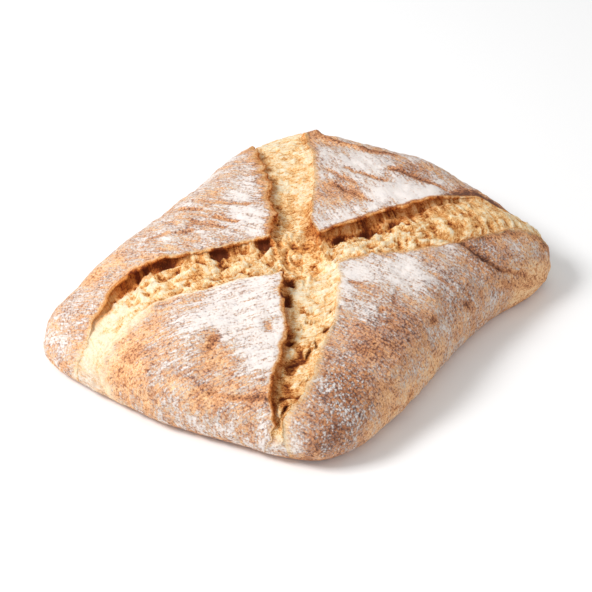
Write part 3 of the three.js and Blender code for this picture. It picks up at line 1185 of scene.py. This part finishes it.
def makeFlourDust():
    look = flourLook
    inputs = {"Place": vectorKind, "Streak": vectorKind, "Amount": floatKind, "Clump": floatKind}
    outputs = {"Mask": floatKind, "Gap": floatKind, "Height": floatKind}
    tree, given, out = startGroup("flourDust", inputs, outputs)
    place, streak = given["Place"], given["Streak"]
    grain = fineNoise(tree, place, look["grainScale"], 5, 0.75)
    blot = fineNoise(tree, place, look["blotScale"], 3, 0.6)
    fine = streakNoise(tree, streak, look["fineStreaks"], 4, 0.7)
    broad = streakNoise(tree, streak, look["broadStreaks"], 3, 0.65)
    fleck = cellDistance(tree, place, look["fleckScale"])
    apart = calc(tree, "SUBTRACT", 1.0, fleck)
    parts = {"grain": grain, "fine": fine, "blot": blot, "broad": broad, "fleck": apart}
    field = addWeighted(tree, parts, look["weights"])
    cell = cellDistance(tree, bendPlace(tree, place, look["clumpBend"]), look["clumpScale"])
    blob = calc(tree, "SUBTRACT", look["clumpTop"], calc(tree, "MULTIPLY", cell, look["clumpFall"]))
    lumpy = addUp(tree, (grain, 1 - look["clumpWeight"]), (blob, look["clumpWeight"]))
    field = addNode(tree, "ShaderNodeMix", {0: given["Clump"], 2: field, 3: lumpy})
    edge = calc(tree, "MULTIPLY_ADD", given["Amount"], look["amountShift"], look["bareEdge"])
    crisp = passed(tree, field, edge, *look["crispBand"])
    soft = passed(tree, field, edge, *look["softBand"])
    mask = addUp(tree, (crisp, look["crispShare"]), (soft, 1 - look["crispShare"]))
    tree.links.new(mask, out["Mask"])
    tree.links.new(ease(tree, fleck, *look["gap"]), out["Gap"])
    thick = calc(tree, "ADD", field, look["thickness"])
    tree.links.new(calc(tree, "MULTIPLY", mask, thick), out["Height"])
    return tree


# Baked crust, from pale to dark brown, a little uneven in colour.
crustLook = {
    "grainScale": 800,
    "blotScale": 170,
    "speckScale": 1050,
    "streaks": (0.16, 1.1, 0.5),
    "weights": {"grain": 1.1, "blot": 0.6, "streak": 0.9, "speck": 0.28},
    "middle": 1.36,
    "speckBand": (0.56, 0.64),
    "streakHeight": 0.6,
}


def makeBakedCrust():
    look = crustLook
    inputs = {"Place": vectorKind, "Streak": vectorKind, "Bake": floatKind}
    tree, given, out = startGroup("bakedCrust", inputs, {"Color": colourKind, "Height": floatKind})
    grain = fineNoise(tree, given["Place"], look["grainScale"], 5, 0.75)
    blot = fineNoise(tree, given["Place"], look["blotScale"], 3, 0.55)
    streak = streakNoise(tree, given["Streak"], look["streaks"], 4, 0.7)
    speck = ease(tree, fineNoise(tree, given["Place"], look["speckScale"], 2, 0.5), *look["speckBand"])
    parts = {"grain": grain, "blot": blot, "streak": streak, "speck": speck}
    total = addWeighted(tree, parts, look["weights"])
    value = calc(tree, "ADD", given["Bake"], calc(tree, "SUBTRACT", total, look["middle"]))
    tree.links.new(colourRamp(tree, value, tones["crust"]), out["Color"])
    raised = calc(tree, "MULTIPLY", streak, look["streakHeight"])
    tree.links.new(calc(tree, "ADD", grain, raised), out["Height"])
    return tree


# Torn crumb: cream on its high parts, painted golden to dark brown as shade in its hollows and under the
# rims, and toasted brown at its edges.
crumbFinish = {
    "grainScale": 750,
    "blotScale": 190,
    "crackScale": 330,
    "strands": (0.14, 0.8, 0.6),
    "weights": {"grain": 0.9, "blot": 0.9, "strand": 1.1, "crack": 0.24, "fibre": -0.18},
    "relief": {"grain": 1.0, "strand": 1.0, "crack": -0.3, "fibre": 0.3},
    "middle": 1.42,
    "bakeMiddle": 0.4,
    "crackWidth": 0.045,
    "fibreWidth": 0.05,
    "hollowShade": 0.95,
    "toastShade": 0.22,
    "toastGrain": 0.5,
    "toastBand": (0.3, 1.15),
    "toastCover": 0.9,
}


# Thin lines where a noise crosses its middle.
def thinLines(tree, value, width):
    away = calc(tree, "ABSOLUTE", calc(tree, "SUBTRACT", value, 0.5))
    return calc(tree, "SUBTRACT", 1.0, ease(tree, away, 0.0, width))


def makeOpenCrumb():
    look = crumbFinish
    inputs = {name: vectorKind for name in ("Place", "Streak")}
    inputs.update({name: floatKind for name in ("Bake", "PaintedShade", "ToastAndShade")})
    tree, given, out = startGroup("openCrumb", inputs, {"Color": colourKind, "Height": floatKind})
    grain = fineNoise(tree, given["Place"], look["grainScale"], 5, 0.75)
    blot = fineNoise(tree, given["Place"], look["blotScale"], 4, 0.65)
    strand = streakNoise(tree, given["Streak"], look["strands"], 5, 0.7)
    cracked = fineNoise(tree, given["Place"], look["crackScale"], 3, 0.6)
    crack = thinLines(tree, cracked, look["crackWidth"])
    fibre = thinLines(tree, strand, look["fibreWidth"])
    parts = {"grain": grain, "blot": blot, "strand": strand, "crack": crack, "fibre": fibre}
    total = addWeighted(tree, parts, look["weights"])
    # Painted shade darkens the crumb in its hollows. By the rims it also takes toast mixed with painted
    # shade.
    dark = addUp(tree, (given["PaintedShade"], look["hollowShade"]), (given["ToastAndShade"], look["toastShade"]))
    base = calc(tree, "SUBTRACT", given["Bake"], look["bakeMiddle"])
    value = calc(tree, "ADD", calc(tree, "ADD", dark, base), calc(tree, "SUBTRACT", total, look["middle"]))
    golden = colourRamp(tree, value, tones["crumb"])
    brown = colourRamp(tree, value, tones["toastAndShade"])
    grainy = addUp(tree, (given["ToastAndShade"], 1.0), (grain, look["toastGrain"]))
    toastedAndShaded = calc(tree, "MULTIPLY", ease(tree, grainy, *look["toastBand"]), look["toastCover"])
    tree.links.new(blend(tree, toastedAndShaded, golden, brown), out["Color"])
    standing = {name: parts[name] for name in look["relief"]}
    tree.links.new(addWeighted(tree, standing, look["relief"]), out["Height"])
    return tree


def useGroup(tree, group, inputs):
    node = tree.nodes.new("ShaderNodeGroup")
    node.node_tree = group
    for name, value in inputs.items():
        tree.links.new(value, node.inputs[name])
    return node.outputs


breadLook = {
    "flourCover": 0.87,
    "flourHaze": 0.03,
    "gapBake": 0.3,
    "flourHeight": 0.8,
    "crustHeight": 0.4,
    "crumbHeight": 0.65,
    "bump": 0.8,
    "bumpDistance": 0.0008,
    "roughness": 0.85,
    "specular": 0.25,
}


def makeBreadMaterial():
    look = breadLook
    material = bpy.data.materials.new("floury crust and crumb")
    material.use_nodes = True
    tree = material.node_tree
    shader = tree.nodes["Principled BSDF"]
    place = tree.nodes.new("ShaderNodeTexCoord").outputs["Object"]
    read = {name: addNode(tree, "ShaderNodeAttribute", {}, "Fac", attribute_name=name) for name in fields}
    streak = addNode(tree, "ShaderNodeAttribute", {}, "Vector", attribute_name="streakPlace")
    shared = {"Place": place, "Streak": streak}
    dust = useGroup(tree, makeFlourDust(), {**shared, "Amount": read["flour"], "Clump": read["clump"]})
    baked = addUp(tree, (read["bake"], 1.0), (dust["Gap"], look["gapBake"]))
    crust = useGroup(tree, makeBakedCrust(), {**shared, "Bake": baked})
    crumbInputs = {"Bake": read["bake"], "PaintedShade": read["paintedShade"], "ToastAndShade": read["toastAndShade"]}
    inside = useGroup(tree, makeOpenCrumb(), {**shared, **crumbInputs})
    floury = calc(tree, "MULTIPLY_ADD", dust["Mask"], look["flourCover"], look["flourHaze"])
    skinColour = blend(tree, floury, crust["Color"], tones["flour"])
    colour = blend(tree, read["crumb"], skinColour, inside["Color"])
    tree.links.new(colour, shader.inputs["Base Color"])
    lowCrust = calc(tree, "MULTIPLY", crust["Height"], look["crustHeight"])
    skinHeight = calc(tree, "MULTIPLY_ADD", dust["Height"], look["flourHeight"], lowCrust)
    crumbRelief = calc(tree, "MULTIPLY", inside["Height"], look["crumbHeight"])
    height = addNode(tree, "ShaderNodeMix", {0: read["crumb"], 2: skinHeight, 3: crumbRelief})
    bumpInputs = {"Height": height, "Strength": look["bump"], "Distance": look["bumpDistance"]}
    tree.links.new(addNode(tree, "ShaderNodeBump", bumpInputs), shader.inputs["Normal"])
    shader.inputs["Roughness"].default_value = look["roughness"]
    shader.inputs["Specular IOR Level"].default_value = look["specular"]
    return material


mesh.materials.append(makeBreadMaterial())
print("bread material made")

# The camera looks down on the loaf. Angles are in degrees, the distance in metres, and the aim and how far
# it is slid to the right and up in millimetres.
cameraLook = {
    "azimuth": 35,
    "elevation": 40,
    "lens": 100,
    "sensor": 36,
    "distance": 0.964,
    "aim": (-5.2, 2.6, 0),
    "right": -2.35,
    "up": 5.0,
}


def makeCamera():
    azimuth, elevation = math.radians(cameraLook["azimuth"]), math.radians(cameraLook["elevation"])
    flat = math.cos(elevation)
    back = Vector((math.sin(azimuth) * flat, -math.cos(azimuth) * flat, math.sin(elevation)))
    right = Vector((math.cos(azimuth), math.sin(azimuth), 0))
    up = back.cross(right)
    aim = (Vector(cameraLook["aim"]) + right * cameraLook["right"] + up * cameraLook["up"]) * metresPerMm
    data = bpy.data.cameras.new("camera")
    data.lens = cameraLook["lens"]
    data.sensor_width = cameraLook["sensor"]
    camera = bpy.data.objects.new("camera", data)
    camera.location = aim + back * cameraLook["distance"]
    camera.rotation_euler = back.to_track_quat("Z", "Y").to_euler()
    bpy.context.scene.collection.objects.link(camera)
    bpy.context.scene.camera = camera


makeCamera()

lights = [
    {"name": "key", "from": (-0.75, -0.75, 1.15), "size": 0.5, "power": 20},
    {"name": "fill", "from": (0.9, -0.9, 0.7), "size": 1.2, "power": 1.5},
]
for light in lights:
    data = bpy.data.lights.new(light["name"], "AREA")
    data.size = light["size"]
    data.energy = light["power"]
    lamp = bpy.data.objects.new(light["name"], data)
    lamp.location = light["from"]
    lamp.rotation_euler = Vector(light["from"]).to_track_quat("Z", "Y").to_euler()
    bpy.context.scene.collection.objects.link(lamp)
surroundings = {"Color": (1, 1, 1, 1), "Strength": 0.6}
world = bpy.data.worlds.new("studio")
world.use_nodes = True
for name, value in surroundings.items():
    world.node_tree.nodes["Background"].inputs[name].default_value = value
bpy.context.scene.world = world
bpy.context.scene.view_settings.view_transform = "Standard"

floorLook = {"halfSize": 12, "colour": (0.95, 0.95, 0.95, 1)}


def makeFloor():
    bm = bmesh.new()
    bmesh.ops.create_grid(bm, x_segments=1, y_segments=1, size=floorLook["halfSize"])
    floorMesh = bpy.data.meshes.new("studioFloor")
    bm.to_mesh(floorMesh)
    bm.free()
    paint = bpy.data.materials.new("floorPaint")
    paint.use_nodes = True
    paint.node_tree.nodes["Principled BSDF"].inputs["Base Color"].default_value = floorLook["colour"]
    floorMesh.materials.append(paint)
    floor = bpy.data.objects.new("studioFloor", floorMesh)
    bpy.context.scene.collection.objects.link(floor)
    return floor


makeFloor()
print("camera, light and floor set")
